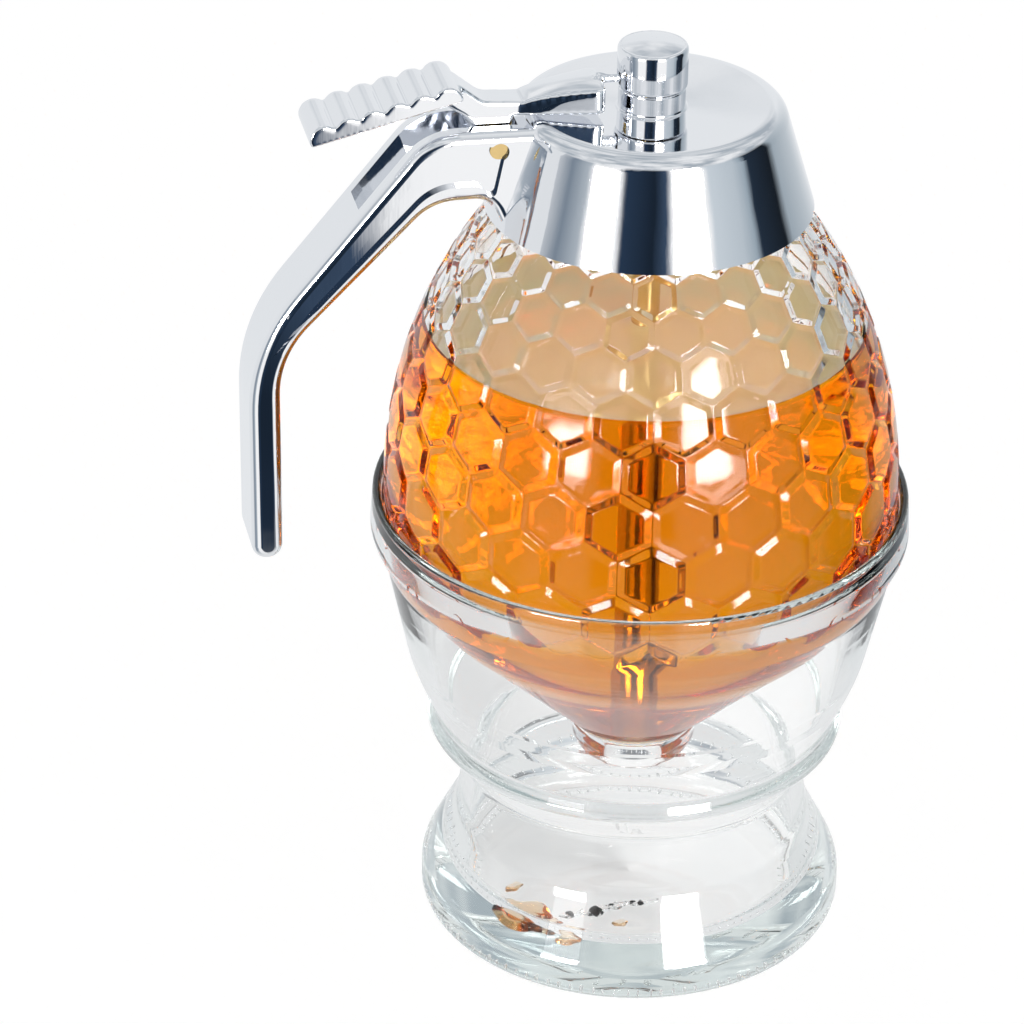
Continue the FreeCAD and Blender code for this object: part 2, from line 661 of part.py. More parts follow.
def make_jar():
    """Glass jar: egg-shaped above, conical below, with a neck, an outlet and a honeycomb outside."""
    wall = d.jar_wall.value
    lower, upper = jar_arcs(0.0)
    lower_plain, upper_plain = jar_arcs(d.relief_depth.value)
    lower_in, upper_in = jar_arcs(wall)
    equator_plain = lower_plain.at_angle(0.0)
    equator_in = lower_in.at_angle(0.0)
    step_in = lower_plain.at_height(d.relief_foot_height.value + 0.6)
    step_out = lower.at_height(d.relief_foot_height.value)
    shoulder = upper_plain.at_height(d.shoulder_top_height.value)
    neck_in = upper_in.above_at((d.neck_radius - d.jar_wall).value)
    cone_out, cone_in = lower.at_angle(-math.pi / 4.0), lower_in.at_angle(-math.pi / 4.0)
    funnel = V(d.funnel_radius.value, 0, number(funnel_top()))
    nub = V(d.nub_radius.value, 0, number(cone_height(d.nub_radius, Size(0, "0"))))
    top = (d.lid_height - d.lid_wall - 0.1).value
    neck, bead, chamfer = d.neck_radius.value, d.neck_bead.value, d.nub_chamfer.value
    tip, tip_radius = d.nub_tip_height.value, d.nub_tip_radius.value
    edges = [lower.edge(cone_out, step_out), lower_plain.edge(step_in, equator_plain),
             upper_plain.edge(equator_plain, shoulder),
             upper_in.edge(neck_in, equator_in), lower_in.edge(equator_in, cone_in)]
    outside = [shoulder, V(neck, 0, shoulder.z + d.shoulder_rise.value),
               V(neck, 0, top - d.neck_bead_height.value),
               V(neck + bead, 0, top - d.neck_bead_height.value + bead), V(neck + bead, 0, top - bead * 0.5),
               V(neck + bead * 0.5, 0, top), V(neck - wall, 0, top), neck_in]
    underside = [cone_in, funnel, V(d.outlet_radius.value, 0, d.seat_height.value),
                 V(d.outlet_radius.value, 0, tip), V(tip_radius - chamfer, 0, tip),
                 V(tip_radius, 0, tip + chamfer), nub, cone_out]
    for start, end in zip(underside, underside[1:]):
        edges.append(Part.makeLine(start, end))
    edges.append(Part.makeLine(step_out, step_in))
    plain = loop(edges, outside).revolve(V(0, 0, 0), V(0, 0, 1), 360)
    return plain.multiFuse(honeycomb())


def make_honey():
    """Honey up to its level, clear of the rod and of the stopper's travel."""
    inset = d.jar_wall + d.fit_gap
    lower, upper = jar_arcs(inset.value)
    level = d.honey_level.value
    equator = lower.at_angle(0.0)
    surface = upper.at_height(level)
    cone = lower.at_angle(-math.pi / 4.0)
    funnel = V(d.funnel_radius.value, 0, number(cone_height(d.funnel_radius, inset)))
    core = (d.stopper_radius + d.running_gap * 1.5).value
    seat = V(core, 0, funnel.z - (funnel.x - core) / funnel_slope().value)
    roof = (stopper_top() + d.lift + d.running_gap).value
    sleeve = (d.rod_radius + d.running_gap).value
    edges = [lower.edge(cone, equator), upper.edge(equator, surface)]
    points = [surface, V(sleeve, 0, level), V(sleeve, 0, roof), V(core, 0, roof), seat, funnel, cone]
    return loop(edges, points).revolve(V(0, 0, 0), V(0, 0, 1), 360)


def shape_feature(label, shape):
    feature = doc.addObject("Part::Feature", label)
    feature.Label = label
    feature.Shape = shape
    feature.Placement = FreeCAD.Placement()
    return feature


NODES = [make_stand(), make_lid(), make_lever(), make_knob(), make_rod(), make_stopper(), make_pin(),
         shape_feature("jar", make_jar()), shape_feature("honey", make_honey())]
doc.recompute()


def check():
    for item in doc.Objects:
        if "Invalid" in item.State or "Error" in item.State:
            raise RuntimeError(item.Label + " failed to build")
    for node in NODES:
        if node.Shape.isNull() or not node.Shape.isValid() or len(node.Shape.Solids) != 1:
            raise RuntimeError(node.Label + " is not one valid solid")
        print(node.Label, round(node.Shape.Volume, 1), node.Shape.BoundBox)


check()
os.makedirs("parts", exist_ok=True)
for node in NODES:
    node.Shape.exportStep("parts/" + node.Label + ".step")
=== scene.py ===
"""Looks of the honey dispenser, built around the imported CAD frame.

Lengths below are in millimetres on the object's own axes (Z up, handle along -X) and are
turned into metres where a mesh is made.
"""

import math
import random

import bmesh
import bpy
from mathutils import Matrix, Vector


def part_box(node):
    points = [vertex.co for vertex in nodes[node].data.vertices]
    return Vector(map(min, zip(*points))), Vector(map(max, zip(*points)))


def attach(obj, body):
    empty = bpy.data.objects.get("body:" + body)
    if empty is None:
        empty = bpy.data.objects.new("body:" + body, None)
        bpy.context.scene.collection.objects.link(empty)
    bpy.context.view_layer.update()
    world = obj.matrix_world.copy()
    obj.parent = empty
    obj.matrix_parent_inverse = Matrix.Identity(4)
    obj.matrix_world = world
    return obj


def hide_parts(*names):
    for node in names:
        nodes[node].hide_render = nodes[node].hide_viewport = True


MM = 0.001
TAU = 2.0 * math.pi
ON_AXIS = 1e-6

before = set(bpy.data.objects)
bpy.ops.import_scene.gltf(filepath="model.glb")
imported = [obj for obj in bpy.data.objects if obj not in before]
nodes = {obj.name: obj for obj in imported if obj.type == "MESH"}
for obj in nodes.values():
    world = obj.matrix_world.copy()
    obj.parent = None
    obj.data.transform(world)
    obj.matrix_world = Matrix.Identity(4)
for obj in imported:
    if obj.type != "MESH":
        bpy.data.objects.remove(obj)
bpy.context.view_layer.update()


def cad_box(name):
    """Lowest and highest corner of a CAD node, in millimetres."""
    low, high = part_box(name)
    return low / MM, high / MM


jar_low, jar_high = cad_box("jar")
HONEY_LEVEL = cad_box("honey")[1].z
ROD_RADIUS = cad_box("rod")[1].x
KNOB_TOP = cad_box("knob")[1].z
POST_HEIGHT = 2.6  # the post is cast with the lid, so the lid's box ends at the post's top
LID_TOP = cad_box("lid")[1].z - POST_HEIGHT

# ---------------------------------------------------------------- the jar's section
JAR_RADIUS = jar_high.x
NECK_TOP = jar_high.z
NUB_TIP = jar_low.z
EQUATOR_DEPTH = 63.4  # below the neck's top, as is the next
SHOULDER_DEPTH = 10.4
SEAT_RISE = 4.9  # above the nub's tip
EQUATOR = NECK_TOP - EQUATOR_DEPTH
SHOULDER = NECK_TOP - SHOULDER_DEPTH
SEAT = NUB_TIP + SEAT_RISE
UPPER_ARC = 77.0
LOWER_ARC = 30.0
WALL = 2.8
NUB_RADIUS = 10.0
OUTLET = 4.6
FUNNEL_RADIUS = 8.0
NECK_RADIUS = 16.6
NECK_BEAD = 1.0

# the pressed honeycomb, in angle round the axis and in conformal height above the equator
COLUMNS = 24
PITCH = TAU / COLUMNS
ROW_PITCH = 0.211
FIRST_ROW = 0.135
HALF_HEIGHT = 0.1407
ROWS = range(-1, 8)
CELL_TURN = 0.24
GROOVE_DEPTH = 0.50
SIDE_STEPS = 4
AROUND = COLUMNS * 2 * SIDE_STEPS
PAD_RINGS = (0.40, 0.68, 0.74, 0.765, 0.80, 0.87, 0.95, 0.975)  # shares of the way to the border
GROOVE_START, GROOVE_WIDTH = 0.74, 0.26  # shares of the way to the border
ROUND_TOP, ROUND_FLOOR = 0.12, 0.90  # the side is straight between these shares of the width
SKIRT = ((0.012, 0.72), (0.026, 0.22), (0.036, 0.0))  # (step in conformal height, share of the depth)
SKIRT_REACH = 0.07
TABLE_STEPS = 1500
UPPER_STOP, LOWER_STOP = 0.80, 0.78  # angles at which the table of conformal heights ends


# ---------------------------------------------------------------- mesh helpers
def make_object(name, points, faces, material, smooth=True):
    """A mesh object from points in millimetres."""
    mesh = bpy.data.meshes.new(name)
    mesh.from_pydata([(x * MM, y * MM, z * MM) for x, y, z in points], [], faces)
    mesh.validate()
    mesh.materials.append(material)
    mesh.polygons.foreach_set("use_smooth", [smooth] * len(mesh.polygons))
    obj = bpy.data.objects.new(name, mesh)
    bpy.context.scene.collection.objects.link(obj)
    return obj


def rounded_path(corners, steps=6):
    """Points along the corners (r, z, radius), with each corner rounded by its radius."""
    points = []
    last = len(corners) - 1
    for i, (r, z, radius) in enumerate(corners):
        here = Vector((r, z))
        if radius <= 0 or i in (0, last):
            points.append(here)
            continue
        before = Vector(corners[i - 1][:2]) - here
        after = Vector(corners[i + 1][:2]) - here
        reach = radius / math.tan(before.angle(after) / 2.0)
        reach = min(reach, before.length * 0.49, after.length * 0.49)
        start = here + before.normalized() * reach
        end = here + after.normalized() * reach
        for k in range(steps + 1):
            t = k / steps
            points.append(start * (1 - t) ** 2 + here * 2 * t * (1 - t) + end * t * t)
    return [(p.x, p.y) for p in points]


def lathe_faces(first, rings, around):
    """Quads between consecutive rings of vertices that start at index first."""
    faces = []
    for i in range(rings - 1):
        a = first + i * around
        b = first + (i + 1) * around
        for j in range(around):
            k = (j + 1) % around
            faces.append((a + j, a + k, b + k, b + j))
    return faces


def lathe(name, path, material, around):
    """A closed solid of revolution; a path that starts and ends on the axis is capped there."""
    points, faces = [], []
    ring_path = [p for p in path if p[0] > ON_AXIS]
    for r, z in ring_path:
        for j in range(around):
            a = TAU * j / around
            points.append((r * math.cos(a), r * math.sin(a), z))
    faces += lathe_faces(0, len(ring_path), around)
    for end, ring in ((0, 0), (-1, len(ring_path) - 1)):
        if path[end][0] <= ON_AXIS:
            points.append((0.0, 0.0, path[end][1]))
            tip = len(points) - 1
            base = ring * around
            for j in range(around):
                k = (j + 1) % around
                faces.append((tip, base + k, base + j) if end == 0 else (tip, base + j, base + k))
    return make_object(name, points, faces, material)


# ---------------------------------------------------------------- materials
def new_material(name):
    """A material with an empty node tree, and that tree."""
    material = bpy.data.materials.new(name)
    material.use_nodes = True
    tree = material.node_tree
    tree.nodes.clear()
    return material, tree


def add(tree, kind, **sockets):
    """A node with its sockets set by name, spaces written as underscores."""
    node = tree.nodes.new(kind)
    for key, value in sockets.items():
        node.inputs[key.replace("_", " ")].default_value = value
    return node


def feed(tree, sockets, values):
    """Link each socket to a node's output, or set it to a plain value."""
    for socket, value in zip(sockets, values):
        if isinstance(value, bpy.types.NodeSocket):
            tree.links.new(value, socket)
        else:
            socket.default_value = value


def calculate(tree, operation, *values):
    """The result of a Math node, fed by sockets or numbers."""
    node = add(tree, "ShaderNodeMath")
    node.operation = operation
    feed(tree, node.inputs, values)
    return node.outputs[0]


def noise_bump(tree, scale, distance, detail=3.0, stretch=(1, 1, 1)):
    """A Bump node fed by noise in object space; scale is in bumps per metre."""
    place = add(tree, "ShaderNodeTexCoord")
    mapping = add(tree, "ShaderNodeMapping", Scale=stretch)
    field = add(tree, "ShaderNodeTexNoise", Scale=scale, Detail=detail)
    bump = add(tree, "ShaderNodeBump", Strength=1.0, Distance=distance)
    tree.links.new(place.outputs["Object"], mapping.inputs["Vector"])
    tree.links.new(mapping.outputs["Vector"], field.inputs["Vector"])
    tree.links.new(field.outputs["Fac"], bump.inputs["Height"])
    return bump


def clear_material(name, ior, absorb, density, roughness=0.0, bump=None, lamp_share=0.85,
                   cloud=(1, 1, 1), clearness=1.0, gloss=1.0):
    """Glass or honey: it refracts, tints what passes by its thickness, and lets lamps through."""
    material, tree = new_material(name)
    surface = add(tree, "ShaderNodeBsdfPrincipled", Base_Color=(*cloud, 1), Roughness=roughness,
                  IOR=ior, Transmission_Weight=clearness, Specular_Tint=(gloss, gloss, gloss, 1))
    clear = add(tree, "ShaderNodeBsdfTransparent", Color=(1, 1, 1, 1))
    rays = add(tree, "ShaderNodeLightPath")
    mix = add(tree, "ShaderNodeMixShader")
    volume = add(tree, "ShaderNodeVolumeAbsorption", Color=(*absorb, 1), Density=density)
    output = add(tree, "ShaderNodeOutputMaterial")
    link = tree.links.new
    link(calculate(tree, "MULTIPLY", rays.outputs["Is Shadow Ray"], lamp_share), mix.inputs[0])
    link(surface.outputs[0], mix.inputs[1])
    link(clear.outputs[0], mix.inputs[2])
    link(mix.outputs[0], output.inputs["Surface"])
    link(volume.outputs[0], output.inputs["Volume"])
    if bump:
        link(noise_bump(tree, **bump).outputs[0], surface.inputs["Normal"])
    return material


def metal_material(name, color, low, high, waves, scratches):
    """Polished plating: smudges vary the roughness, and faint waves and scratches bend the gloss."""
    material, tree = new_material(name)
    link = tree.links.new
    surface = add(tree, "ShaderNodeBsdfPrincipled", Base_Color=(*color, 1), Metallic=1.0)
    place = add(tree, "ShaderNodeTexCoord")
    smudge = add(tree, "ShaderNodeTexNoise", Scale=140.0, Detail=5.0, Roughness=0.6)
    level = add(tree, "ShaderNodeMapRange", From_Min=0.35, From_Max=0.75, To_Min=low, To_Max=high)
    link(place.outputs["Object"], smudge.inputs["Vector"])
    link(smudge.outputs["Fac"], level.inputs["Value"])
    link(level.outputs[0], surface.inputs["Roughness"])
    wave = noise_bump(tree, scale=55.0, distance=waves, detail=1.5)
    fine = noise_bump(tree, scale=900.0, distance=scratches, detail=2.0, stretch=(1, 1, 0.08))
    link(wave.outputs[0], fine.inputs["Normal"])
    link(fine.outputs[0], surface.inputs["Normal"])
    output = add(tree, "ShaderNodeOutputMaterial")
    link(surface.outputs[0], output.inputs["Surface"])
    return material


def rubber_material(name, color):
    """Soft clear rubber: it scatters a little light and has a fine matt grain."""
    material, tree = new_material(name)
    surface = add(tree, "ShaderNodeBsdfPrincipled", Base_Color=(*color, 1), Roughness=0.35,
                  IOR=1.43, Subsurface_Weight=0.3, Subsurface_Scale=0.002)
    output = add(tree, "ShaderNodeOutputMaterial")
    tree.links.new(noise_bump(tree, scale=700.0, distance=0.00002).outputs[0],
                   surface.inputs["Normal"])
    tree.links.new(surface.outputs[0], output.inputs["Surface"])
    return material


jar_glass = clear_material("jar glass", 1.50, (0.90, 0.97, 0.94), 8.0, gloss=0.3,
                           bump=dict(scale=60.0, distance=0.00012, detail=1.0))
stand_glass = clear_material("stand glass", 1.50, (0.60, 0.74, 0.69), 7.0,
                             bump=dict(scale=45.0, distance=0.00015, detail=1.0))
honey_amber = clear_material("amber honey", 1.48, (0.965, 0.795, 0.02), 100.0, lamp_share=0.9, gloss=0.1)
honey_skin = clear_material("honey surface", 1.48, (0.965, 0.795, 0.02), 100.0, roughness=0.10,
                            lamp_share=0.9, cloud=(0.98, 0.80, 0.36), clearness=0.45)
honey_dark = clear_material("dried honey", 1.48, (0.90, 0.55, 0.02), 520.0, lamp_share=0.9)
thin_honey = clear_material("thin honey", 1.40, (0.99, 0.94, 0.70), 40.0, lamp_share=0.9)
chrome = metal_material("polished chrome", (0.88, 0.89, 0.91), 0.02, 0.07, 0.00024, 0.000004)
brass = metal_material("worn brass", (0.80, 0.58, 0.26), 0.12, 0.26, 0.00004, 0.000010)
silicone = rubber_material("clear silicone", (0.80, 0.74, 0.60))
stipple_glass = clear_material("ground glass", 1.50, (0.8, 0.9, 0.86), 10.0, roughness=0.45)


# ---------------------------------------------------------------- the jar
def arc_point(centre, radius, angle, inset=0.0):
    """(r, z) on an arc whose centre is on the equator's level, moved inwards by inset."""
    reach = radius - inset
    return centre + reach * math.cos(angle), EQUATOR + reach * math.sin(angle)


LOWER_CENTRE = JAR_RADIUS - LOWER_ARC
UPPER_CENTRE = JAR_RADIUS - UPPER_ARC
CONE_START = -math.pi / 4.0


def cone_height(radius, inset):
    """Height at which the jar's 45 degree cone, moved inwards by inset, has a radius."""
    return EQUATOR - LOWER_CENTRE - (LOWER_ARC - inset) * math.sqrt(2.0) + radius


def conformal_table():
    """(v, angle) pairs along the jar's outside, where v grows by length over radius."""
    table = [(0.0, 0.0)]
    for centre, arc, sign, stop in ((UPPER_CENTRE, UPPER_ARC, 1, UPPER_STOP),
                                    (LOWER_CENTRE, LOWER_ARC, -1, LOWER_STOP)):
        v = 0.0
        step = stop / TABLE_STEPS
        side = []
        for i in range(TABLE_STEPS):
            v += arc * step / (centre + arc * math.cos((i + 0.5) * step))
            side.append((sign * v, sign * (i + 1) * step))
        table += side
    return sorted(table)


TABLE = conformal_table()


def angle_at(v):
    """Angle along the jar's arcs at conformal height v, read from the table."""
    low, high = 0, len(TABLE) - 1
    while high - low > 1:
        middle = (low + high) // 2
        low, high = (middle, high) if TABLE[middle][0] <= v else (low, middle)
    (v0, a0), (v1, a1) = TABLE[low], TABLE[high]
    return a0 + (a1 - a0) * (v - v0) / (v1 - v0)


def jar_section(v, inset=0.0):
    """(r, z) on the jar's outside at conformal height v, moved inwards by inset."""
    angle = angle_at(v)
    if angle >= 0:
        return arc_point(UPPER_CENTRE, UPPER_ARC, angle, inset)
    return arc_point(LOWER_CENTRE, LOWER_ARC, angle, inset)


def groove(t):
    """Share of the groove's depth at a share t of the way from a pad's middle to its border."""
    s = (t - GROOVE_START) / GROOVE_WIDTH
    half_top, half_floor = ROUND_TOP / 2.0, (1.0 - ROUND_FLOOR) / 2.0
    full = ROUND_FLOOR - half_top + half_floor
    if s <= 0:
        return 0.0
    if s < ROUND_TOP:
        return s * s / (2.0 * ROUND_TOP) / full
    if s < ROUND_FLOOR:
        return (s - half_top) / full
    past = s - ROUND_FLOOR
    return (ROUND_FLOOR - half_top + past - past ** 2 / (4.0 * half_floor)) / full


def hexagon_border():
    """Points round one pad in (angle, v), from its middle, counter-clockwise from its top."""
    half, shoulder = PITCH / 2.0, HALF_HEIGHT / 2.0
    corners = [(0, HALF_HEIGHT), (-half, shoulder), (-half, -shoulder), (0, -HALF_HEIGHT),
               (half, -shoulder), (half, shoulder)]
    border = []
    for (a0, v0), (a1, v1) in zip(corners, corners[1:] + corners[:1]):
        for k in range(SIDE_STEPS):
            t = k / SIDE_STEPS
            border.append((a0 + (a1 - a0) * t, v0 + (v1 - v0) * t))
    return border


def build_jar(material):
    """The whole jar as one closed mesh: pads and grooves outside, smooth wall, neck and outlet inside."""
    points, faces, shared = [], [], {}
    grid = TAU / AROUND
    phase = CELL_TURN * PITCH

    def on_outside(angle, v, share):
        """Add a point of the outside, sunk by a share of the groove's depth, and give its index."""
        scale = jar_section(v)[0] / JAR_RADIUS
        r, z = jar_section(v, GROOVE_DEPTH * scale * share)
        points.append((r * math.cos(angle), r * math.sin(angle), z))
        return len(points) - 1

    def border_vertex(angle, v):
        """Index of the point on a groove's floor that neighbouring pads share."""
        key = (round((angle - phase) / grid) % AROUND, round(v * 2000))
        if key not in shared:
            shared[key] = on_outside(angle, v, 1.0)
        return shared[key]

    border = hexagon_border()
    for row in ROWS:
        v0 = FIRST_ROW + row * ROW_PITCH
        for column in range(COLUMNS):
            a0 = phase + PITCH * (column - 0.5 * (row % 2))
            middle = on_outside(a0, v0, 0.0)
            previous = None
            for t in PAD_RINGS + (1.0,):
                if t < 1.0:
                    ring = [on_outside(a0 + a * t, v0 + v * t, groove(t)) for a, v in border]
                else:
                    ring = [border_vertex(a0 + a, v0 + v) for a, v in border]
                for j in range(len(ring)):
                    k = (j + 1) % len(ring)
                    if previous is None:
                        faces.append((middle, ring[j], ring[k]))
                    else:
                        faces.append((previous[j], ring[j], ring[k], previous[k]))
                previous = ring

    def zigzag(row, side):
        """The pattern's border vertices, one per grid angle, on the side away from its rows."""
        v0 = FIRST_ROW + row * ROW_PITCH
        result = []
        for i in range(AROUND):
            a = phase + i * grid
            offset = (a - (phase - 0.5 * (row % 2) * PITCH)) / PITCH
            across = abs(offset - round(offset)) * 2.0
            v = v0 + side * HALF_HEIGHT * (1.0 - across / 2.0)
            result.append((a, v, border_vertex(a, v)))
        return result

    def skirt(edge, side, level):
        """Rings that bring the groove up to the smooth glass beyond the pattern."""
        rings = [[e[2] for e in edge]]
        for step, share in SKIRT:
            rings.append([on_outside(a, v + side * step, share) for a, v, _ in edge])
        rings.append([on_outside(a, level, 0.0) for a, _, _ in edge])
        for inner, outer in zip(rings, rings[1:]):
            for j in range(AROUND):
                k = (j + 1) % AROUND
                quad = (inner[j], inner[k], outer[k], outer[j])
                faces.append(quad if side > 0 else quad[::-1])
        return rings[-1]

    low_level = FIRST_ROW + ROWS[0] * ROW_PITCH - HALF_HEIGHT - SKIRT_REACH
    high_level = FIRST_ROW + ROWS[-1] * ROW_PITCH + HALF_HEIGHT + SKIRT_REACH
    bottom = skirt(zigzag(ROWS[0], -1), -1, low_level)
    top = skirt(zigzag(ROWS[-1], 1), 1, high_level)

    # from the top ring over the neck, down the inside, out of the outlet and up to the bottom ring
    path = []
    start, shoulder = angle_at(high_level), math.asin((SHOULDER - EQUATOR) / UPPER_ARC)
    path += [arc_point(UPPER_CENTRE, UPPER_ARC, start + (shoulder - start) * t / 4) for t in range(1, 5)]
    inner_neck = NECK_RADIUS - WALL
    neck_in = math.acos((inner_neck - UPPER_CENTRE) / (UPPER_ARC - WALL))
    path += rounded_path([
        (*path[-1], 0), (NECK_RADIUS, SHOULDER + 1.2, 1.0), (NECK_RADIUS, NECK_TOP - 2.6, 0.5),
        (NECK_RADIUS + NECK_BEAD, NECK_TOP - 1.5, 0.7), (NECK_RADIUS + NECK_BEAD, NECK_TOP, 0.7),
        (inner_neck, NECK_TOP, 0.6),
        (inner_neck, EQUATOR + (UPPER_ARC - WALL) * math.sin(neck_in), 0)], 4)[1:]
    path += [arc_point(UPPER_CENTRE, UPPER_ARC, neck_in * (1 - t / 28), WALL) for t in range(1, 29)]
    path += [arc_point(LOWER_CENTRE, LOWER_ARC, CONE_START * t / 18, WALL) for t in range(1, 19)]
    end = angle_at(low_level)
    path += rounded_path([
        (*path[-1], 0), (FUNNEL_RADIUS, cone_height(FUNNEL_RADIUS, WALL), 0.8), (OUTLET, SEAT, 0.6),
        (OUTLET, NUB_TIP, 0.4), (NUB_RADIUS - 1.0, NUB_TIP, 1.1), (NUB_RADIUS, NUB_TIP + 2.0, 1.0),
        (NUB_RADIUS, cone_height(NUB_RADIUS, 0.0), 2.0),
        arc_point(LOWER_CENTRE, LOWER_ARC, CONE_START) + (0,)], 5)[1:]
    path += [arc_point(LOWER_CENTRE, LOWER_ARC, CONE_START + (end - CONE_START) * t / 14)
             for t in range(1, 14)]
    first = len(points)
    for r, z in path:
        for i in range(AROUND):
            a = phase + i * grid
            points.append((r * math.cos(a), r * math.sin(a), z))
    faces.extend(f[::-1] for f in lathe_faces(first, len(path), AROUND))
    final = first + (len(path) - 1) * AROUND
    for j in range(AROUND):
        k = (j + 1) % AROUND
        faces.append((top[j], top[k], first + k, first + j))
        faces.append((final + j, final + k, bottom[k], bottom[j]))
    obj = make_object("jar_honeycomb", points, faces, material)
    fix_normals(obj)
    return obj


def fix_normals(obj):
    """Turn every face of a closed mesh outwards."""
    work = bmesh.new()
    work.from_mesh(obj.data)
    bmesh.ops.recalc_face_normals(work, faces=work.faces)
    work.to_mesh(obj.data)
    work.free()


jar = build_jar(jar_glass)
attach(jar, "base")
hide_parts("jar")


# ---------------------------------------------------------------- the honey
HONEY_BITE = 0.15
HONEY_CLIMB = 0.9
MENISCUS = ((0.45, 0.35), (1.0, 0.62), (1.8, 0.80), (3.2, 0.88), (6.0, 0.9))  # (in from the glass, drop)
ROD_MENISCUS = ((20.0, 0.0), (12.0, 0.0), (6.0, 0.02), (4.2, 0.10), (3.2, 0.30), (2.6, 0.62),
                (ROD_RADIUS - 0.1, HONEY_CLIMB))  # (radius, height above the level)


def build_honey(material, skin):
    """Honey that wets the glass: it reaches a little into the wall and climbs it at the surface."""
    into = WALL - HONEY_BITE
    path = [(0.0, SEAT + 0.7), (2.5, SEAT + 0.7), (OUTLET + 0.1, SEAT + 0.4),
            (FUNNEL_RADIUS, cone_height(FUNNEL_RADIUS, into))]
    path += [arc_point(LOWER_CENTRE, LOWER_ARC, CONE_START * (1 - t / 24), into) for t in range(0, 24)]
    surface = math.asin((HONEY_LEVEL + HONEY_CLIMB - EQUATOR) / (UPPER_ARC - into))
    path += [arc_point(UPPER_CENTRE, UPPER_ARC, surface * t / 30, into) for t in range(0, 31)]
    edge = path[-1][0]
    path += [(edge - inward, HONEY_LEVEL + HONEY_CLIMB - drop) for inward, drop in MENISCUS]
    path += [(r, HONEY_LEVEL + rise) for r, rise in ROD_MENISCUS]
    path.append((0.0, HONEY_LEVEL + HONEY_CLIMB))
    obj = lathe("honey_fill", path, material, 160)
    fix_normals(obj)
    obj.data.materials.append(skin)
    for face in obj.data.polygons:
        if face.normal.z > 0.5 and face.center.z > (HONEY_LEVEL - 1.0) * MM:
            face.material_index = 1
    return obj


honey = build_honey(honey_amber, honey_skin)
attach(honey, "base")
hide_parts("honey")

# ---------------------------------------------------------------- finishes of the CAD nodes
FINISHES = {"stand": stand_glass, "lid": chrome, "lever": chrome, "knob": chrome,
            "rod": brass, "stopper": silicone, "pivot_pin": brass}
for name, material in FINISHES.items():
    for place in nodes[name].material_slots:
        place.material = material


# ---------------------------------------------------------------- soft-edged castings
def apply_modifiers(obj):
    """Replace an object's mesh by the one its modifiers make."""
    view = bpy.context.evaluated_depsgraph_get()
    mesh = bpy.data.meshes.new_from_object(obj.evaluated_get(view))
    obj.modifiers.clear()
    obj.data = mesh


def casting(name, node, body, voxel, rounds, reshape, material):
    """A copy of a CAD node with its edges rounded, as on a polished casting, and its top reshaped."""
    obj = bpy.data.objects.new(name, nodes[node].data.copy())
    bpy.context.scene.collection.objects.link(obj)
    remesh = obj.modifiers.new("skin", "REMESH")
    remesh.mode = "VOXEL"
    remesh.voxel_size = voxel * MM
    apply_modifiers(obj)
    ups = [vertex.normal.z for vertex in obj.data.vertices]
    for vertex, up in zip(obj.data.vertices, ups):
        x, y, z = vertex.co / MM
        vertex.co.z = reshape(x, y, z, up) * MM
    smooth = obj.modifiers.new("polish", "SMOOTH")
    smooth.factor = 0.5
    smooth.iterations = rounds
    apply_modifiers(obj)
    obj.data.materials.clear()
    obj.data.materials.append(material)
    obj.data.polygons.foreach_set("use_smooth", [True] * len(obj.data.polygons))
    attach(obj, body)
    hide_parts(node)
    return obj


PADDLE_START, PADDLE_END, PADDLE_HALF, PADDLE_BULGE = -20.0, -7.0, 5.2, 0.9
PADDLE_UP = 0.2  # least upward share of a normal that counts as the top, as is the next
CROWN_UP = 0.3
CROWN_DEPTH = 1.15
CROWN_MARGIN = 0.3
CROWN_RADIUS, CROWN_FOOT, CROWN_RISE = 4.9, KNOB_TOP - CROWN_DEPTH, 0.55


def paddle_bulge(x, y, z, up):
    """The lever's tongue is crowned on top, and flat towards the lid."""
    if not PADDLE_START < x < PADDLE_END or up < PADDLE_UP or z < LID_TOP:
        return z
    along = math.sin(math.pi * (x - PADDLE_START) / (PADDLE_END - PADDLE_START)) ** 0.5
    return z + PADDLE_BULGE * along * max(0.0, 1.0 - (y / PADDLE_HALF) ** 2)


def knob_crown(x, y, z, up):
    """The knob's top is a low dome with a round edge."""
    reach = math.hypot(x, y)
    if reach > CROWN_RADIUS or z < CROWN_FOOT - CROWN_MARGIN or up < CROWN_UP:
        return z
    return CROWN_FOOT + CROWN_RISE * (1.0 - (reach / CROWN_RADIUS) ** 2)


casting("lever_cast", "lever", "lever", voxel=0.22, rounds=16, reshape=paddle_bulge, material=chrome)
casting("knob_cap", "knob", "plunger", voxel=0.16, rounds=7, reshape=knob_crown, material=chrome)


# ---------------------------------------------------------------- drips in the stand
WELL_FLOOR = 6.1
DRIP_PROFILE = ((1.0, -0.05), (1.0, 0.16), (0.95, 0.40), (0.86, 0.63), (0.70, 0.84), (0.45, 0.97),
                (0.2, 1.0))  # (share of the radius, share of the height)
DRIP_AROUND = 40
DRIP_WAVES = (2, 3, 4, 5)
DRIP_FOOT = 0.05


